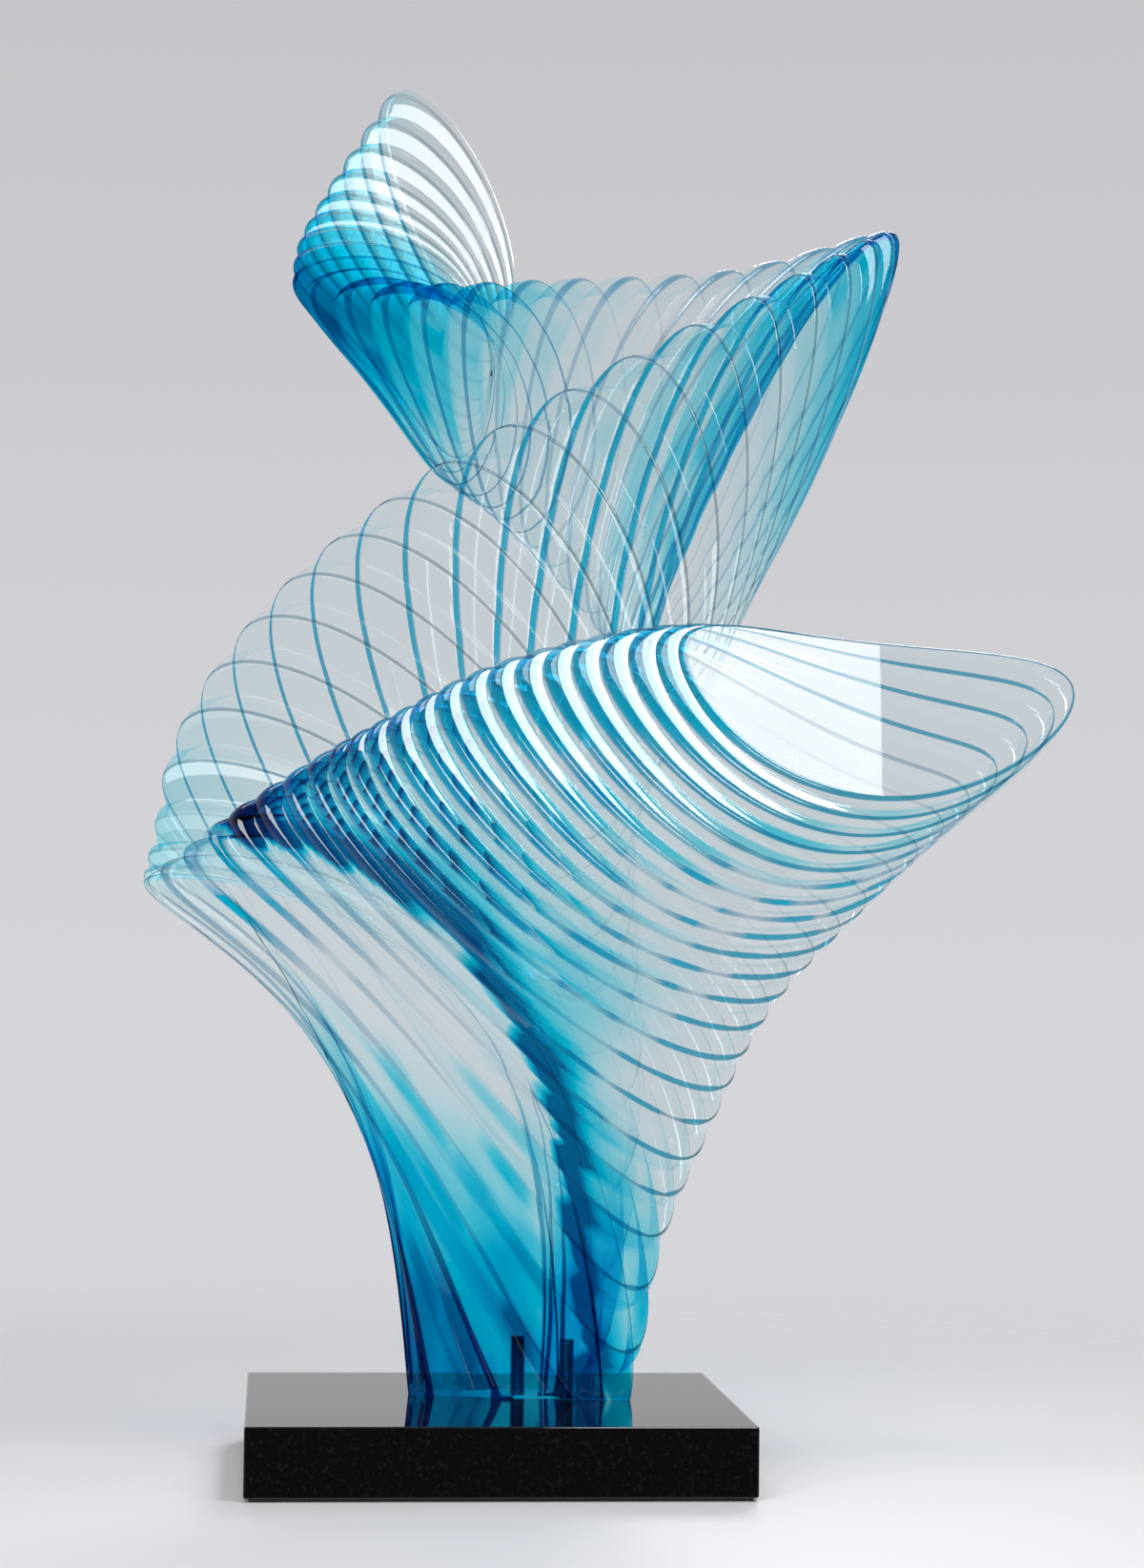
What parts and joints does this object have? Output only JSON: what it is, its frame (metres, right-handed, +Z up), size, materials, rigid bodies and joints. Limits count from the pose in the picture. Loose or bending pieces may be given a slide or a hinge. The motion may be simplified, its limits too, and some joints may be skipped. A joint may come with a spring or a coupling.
{
  "type": "resin abstract sculpture",
  "caption": "Free-standing abstract sculpture: one folded ribbon of ribbed clear and blue resin, bolted from below to a polished black block.",
  "frame": {"origin": "middle of the underside of the felt sheet under the block", "axes": "+Z up, -Y the front that faces the viewer, +X to the viewer's right"},
  "size_m": [0.5392, 0.3462, 0.8814],
  "materials": {
    "resin": "clear cast resin, polished, tinted from water-clear to saturated blue",
    "black_block": "polished black",
    "felt": "matt felt",
    "steel": "plain zinc-grey fixings"
  },
  "bodies": {
    "root": {"resin_body": "resin", "base_block": "black_block", "felt_pad": "felt", "stud_left": "steel", "washer_left": "steel", "nut_left": "steel", "stud_right": "steel", "washer_right": "steel", "nut_right": "steel"}
  },
  "joints": []
}
